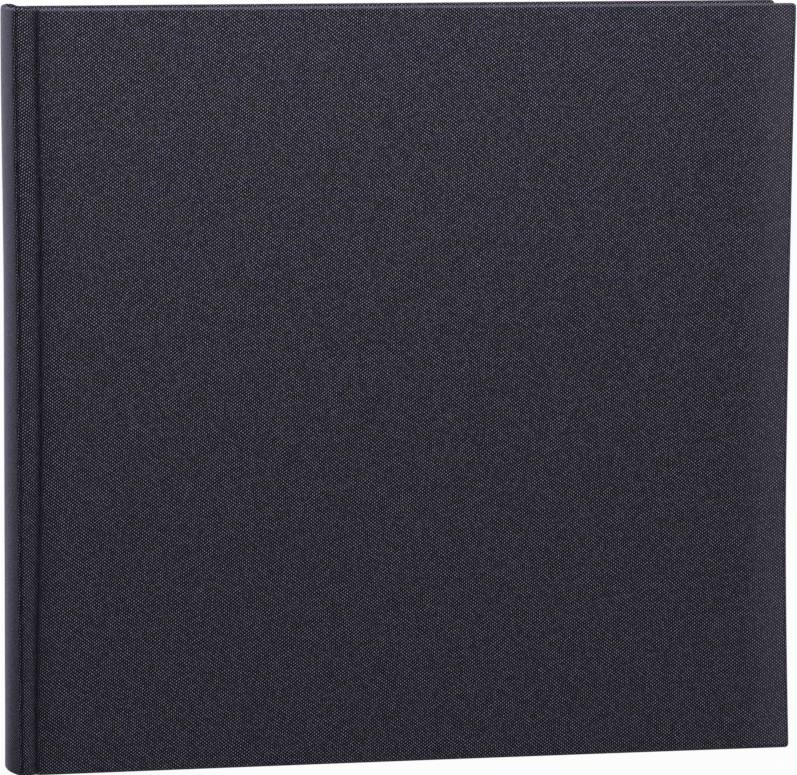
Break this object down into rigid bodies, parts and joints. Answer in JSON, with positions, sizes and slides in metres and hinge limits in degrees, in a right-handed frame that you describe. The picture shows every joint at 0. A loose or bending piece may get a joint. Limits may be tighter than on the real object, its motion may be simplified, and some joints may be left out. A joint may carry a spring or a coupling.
{
  "type": "photo album",
  "caption": "Closed cloth-bound photo album standing on its tail, with grooved joints, opening covers, endpapers, scored card leaves and glassine sheets.",
  "frame": {"origin": "middle of the footprint, on the surface that the tail edges of the covers stand on", "axes": "+X from the spine to the fore edge, +Y from the front cover to the back cover, +Z from tail to head"},
  "size_m": [0.317, 0.0274, 0.301],
  "materials": {
    "book_cloth": "woven book cloth, plain weave, matt",
    "grey_board": "grey millboard, cut edges",
    "endpaper": "dark dyed endpaper, matt",
    "leaf_card": "heavy off-white album card, slightly rough",
    "glassine": "translucent glassine with a fine web pattern, semi-gloss",
    "guard_card": "stacked and glued card strips, matt",
    "kraft_paper": "brown kraft lining paper, matt",
    "mull_gauze": "open cotton gauze with dried glue",
    "band_cord": "dark woven band with a rolled bead"
  },
  "bodies": {
    "spine": {"spine_cloth": "book_cloth", "spine_strip": "grey_board", "spine_lining": "kraft_paper", "mull": "mull_gauze", "guard_block": "guard_card", "head_band": "band_cord", "tail_band": "band_cord", "front_endpaper_hinge": "endpaper", "back_endpaper_hinge": "endpaper"},
    "front_cover": {"front_cover_cloth": "book_cloth", "front_board": "grey_board", "front_pastedown": "endpaper"},
    "back_cover": {"back_cover_cloth": "book_cloth", "back_board": "grey_board", "back_pastedown": "endpaper"},
    "front_flyleaf": {"front_flyleaf": "endpaper"},
    "back_flyleaf": {"back_flyleaf": "endpaper"},
    "leaf_01": {"leaf_01": "leaf_card", "glassine_01": "glassine"},
    "leaf_02": {"leaf_02": "leaf_card", "glassine_02": "glassine"},
    "leaf_03": {"leaf_03": "leaf_card", "glassine_03": "glassine"},
    "leaf_04": {"leaf_04": "leaf_card", "glassine_04": "glassine"},
    "leaf_05": {"leaf_05": "leaf_card", "glassine_05": "glassine"},
    "leaf_06": {"leaf_06": "leaf_card", "glassine_06": "glassine"},
    "leaf_07": {"leaf_07": "leaf_card", "glassine_07": "glassine"},
    "leaf_08": {"leaf_08": "leaf_card", "glassine_08": "glassine"},
    "leaf_09": {"leaf_09": "leaf_card", "glassine_09": "glassine"},
    "leaf_10": {"leaf_10": "leaf_card", "glassine_10": "glassine"},
    "leaf_11": {"leaf_11": "leaf_card", "glassine_11": "glassine"},
    "leaf_12": {"leaf_12": "leaf_card", "glassine_12": "glassine"},
    "leaf_13": {"leaf_13": "leaf_card", "glassine_13": "glassine"},
    "leaf_14": {"leaf_14": "leaf_card", "glassine_14": "glassine"},
    "leaf_15": {"leaf_15": "leaf_card", "glassine_15": "glassine"},
    "leaf_16": {"leaf_16": "leaf_card", "glassine_16": "glassine"},
    "leaf_17": {"leaf_17": "leaf_card", "glassine_17": "glassine"},
    "leaf_18": {"leaf_18": "leaf_card", "glassine_18": "glassine"},
    "leaf_19": {"leaf_19": "leaf_card", "glassine_19": "glassine"},
    "leaf_20": {"leaf_20": "leaf_card", "glassine_20": "glassine"}
  },
  "joints": [
    {"name": "front_cover_hinge", "type": "hinge", "parent": "spine", "child": "front_cover", "pos_m": [-0.15175, -0.01405, 0.15], "axis": [0, 0, -1], "range_deg": [0, 180]},
    {"name": "back_cover_hinge", "type": "hinge", "parent": "spine", "child": "back_cover", "pos_m": [-0.15175, 0.01405, 0.15], "axis": [0, 0, 1], "range_deg": [0, 180]},
    {"name": "front_flyleaf_fold", "type": "hinge", "parent": "spine", "child": "front_flyleaf", "pos_m": [-0.1505, -0.00978, 0.15], "axis": [0, 0, -1], "range_deg": [0, 70]},
    {"name": "back_flyleaf_fold", "type": "hinge", "parent": "spine", "child": "back_flyleaf", "pos_m": [-0.1505, 0.00978, 0.15], "axis": [0, 0, 1], "range_deg": [0, 70]},
    {"name": "leaf_01_fold", "type": "hinge", "parent": "spine", "child": "leaf_01", "pos_m": [-0.1369, -0.00898, 0.15], "axis": [0, 0, -1], "range_deg": [0, 60]},
    {"name": "leaf_02_fold", "type": "hinge", "parent": "spine", "child": "leaf_02", "pos_m": [-0.1369, -0.00803, 0.15], "axis": [0, 0, -1], "range_deg": [0, 57]},
    {"name": "leaf_03_fold", "type": "hinge", "parent": "spine", "child": "leaf_03", "pos_m": [-0.1369, -0.00709, 0.15], "axis": [0, 0, -1], "range_deg": [0, 54]},
    {"name": "leaf_04_fold", "type": "hinge", "parent": "spine", "child": "leaf_04", "pos_m": [-0.1369, -0.00614, 0.15], "axis": [0, 0, -1], "range_deg": [0, 51]},
    {"name": "leaf_05_fold", "type": "hinge", "parent": "spine", "child": "leaf_05", "pos_m": [-0.1369, -0.0052, 0.15], "axis": [0, 0, -1], "range_deg": [0, 48]},
    {"name": "leaf_06_fold", "type": "hinge", "parent": "spine", "child": "leaf_06", "pos_m": [-0.1369, -0.00425, 0.15], "axis": [0, 0, -1], "range_deg": [0, 45]},
    {"name": "leaf_07_fold", "type": "hinge", "parent": "spine", "child": "leaf_07", "pos_m": [-0.1369, -0.00331, 0.15], "axis": [0, 0, -1], "range_deg": [0, 42]},
    {"name": "leaf_08_fold", "type": "hinge", "parent": "spine", "child": "leaf_08", "pos_m": [-0.1369, -0.00236, 0.15], "axis": [0, 0, -1], "range_deg": [0, 39]},
    {"name": "leaf_09_fold", "type": "hinge", "parent": "spine", "child": "leaf_09", "pos_m": [-0.1369, -0.00142, 0.15], "axis": [0, 0, -1], "range_deg": [0, 36]},
    {"name": "leaf_10_fold", "type": "hinge", "parent": "spine", "child": "leaf_10", "pos_m": [-0.1369, -0.00047, 0.15], "axis": [0, 0, -1], "range_deg": [0, 33]},
    {"name": "leaf_11_fold", "type": "hinge", "parent": "spine", "child": "leaf_11", "pos_m": [-0.1369, 0.00047, 0.15], "axis": [0, 0, -1], "range_deg": [0, 30]},
    {"name": "leaf_12_fold", "type": "hinge", "parent": "spine", "child": "leaf_12", "pos_m": [-0.1369, 0.00142, 0.15], "axis": [0, 0, -1], "range_deg": [0, 27]},
    {"name": "leaf_13_fold", "type": "hinge", "parent": "spine", "child": "leaf_13", "pos_m": [-0.1369, 0.00236, 0.15], "axis": [0, 0, -1], "range_deg": [0, 24]},
    {"name": "leaf_14_fold", "type": "hinge", "parent": "spine", "child": "leaf_14", "pos_m": [-0.1369, 0.00331, 0.15], "axis": [0, 0, -1], "range_deg": [0, 21]},
    {"name": "leaf_15_fold", "type": "hinge", "parent": "spine", "child": "leaf_15", "pos_m": [-0.1369, 0.00425, 0.15], "axis": [0, 0, -1], "range_deg": [0, 18]},
    {"name": "leaf_16_fold", "type": "hinge", "parent": "spine", "child": "leaf_16", "pos_m": [-0.1369, 0.0052, 0.15], "axis": [0, 0, -1], "range_deg": [0, 15]},
    {"name": "leaf_17_fold", "type": "hinge", "parent": "spine", "child": "leaf_17", "pos_m": [-0.1369, 0.00614, 0.15], "axis": [0, 0, -1], "range_deg": [0, 12]},
    {"name": "leaf_18_fold", "type": "hinge", "parent": "spine", "child": "leaf_18", "pos_m": [-0.1369, 0.00709, 0.15], "axis": [0, 0, -1], "range_deg": [0, 9]},
    {"name": "leaf_19_fold", "type": "hinge", "parent": "spine", "child": "leaf_19", "pos_m": [-0.1369, 0.00803, 0.15], "axis": [0, 0, -1], "range_deg": [0, 6]},
    {"name": "leaf_20_fold", "type": "hinge", "parent": "spine", "child": "leaf_20", "pos_m": [-0.1369, 0.00898, 0.15], "axis": [0, 0, -1], "range_deg": [0, 3]}
  ],
  "couplings": [
    {"joint": "front_flyleaf_fold", "follows": "front_cover_hinge", "ratio": 0.38889},
    {"joint": "back_flyleaf_fold", "follows": "back_cover_hinge", "ratio": 0.38889},
    {"joint": "leaf_01_fold", "follows": "front_cover_hinge", "ratio": 0.33333},
    {"joint": "leaf_02_fold", "follows": "front_cover_hinge", "ratio": 0.31667},
    {"joint": "leaf_03_fold", "follows": "front_cover_hinge", "ratio": 0.3},
    {"joint": "leaf_04_fold", "follows": "front_cover_hinge", "ratio": 0.28333},
    {"joint": "leaf_05_fold", "follows": "front_cover_hinge", "ratio": 0.26667},
    {"joint": "leaf_06_fold", "follows": "front_cover_hinge", "ratio": 0.25},
    {"joint": "leaf_07_fold", "follows": "front_cover_hinge", "ratio": 0.23333},
    {"joint": "leaf_08_fold", "follows": "front_cover_hinge", "ratio": 0.21667},
    {"joint": "leaf_09_fold", "follows": "front_cover_hinge", "ratio": 0.2},
    {"joint": "leaf_10_fold", "follows": "front_cover_hinge", "ratio": 0.18333},
    {"joint": "leaf_11_fold", "follows": "front_cover_hinge", "ratio": 0.16667},
    {"joint": "leaf_12_fold", "follows": "front_cover_hinge", "ratio": 0.15},
    {"joint": "leaf_13_fold", "follows": "front_cover_hinge", "ratio": 0.13333},
    {"joint": "leaf_14_fold", "follows": "front_cover_hinge", "ratio": 0.11667},
    {"joint": "leaf_15_fold", "follows": "front_cover_hinge", "ratio": 0.1},
    {"joint": "leaf_16_fold", "follows": "front_cover_hinge", "ratio": 0.083333},
    {"joint": "leaf_17_fold", "follows": "front_cover_hinge", "ratio": 0.066667},
    {"joint": "leaf_18_fold", "follows": "front_cover_hinge", "ratio": 0.05},
    {"joint": "leaf_19_fold", "follows": "front_cover_hinge", "ratio": 0.033333},
    {"joint": "leaf_20_fold", "follows": "front_cover_hinge", "ratio": 0.016667}
  ]
}
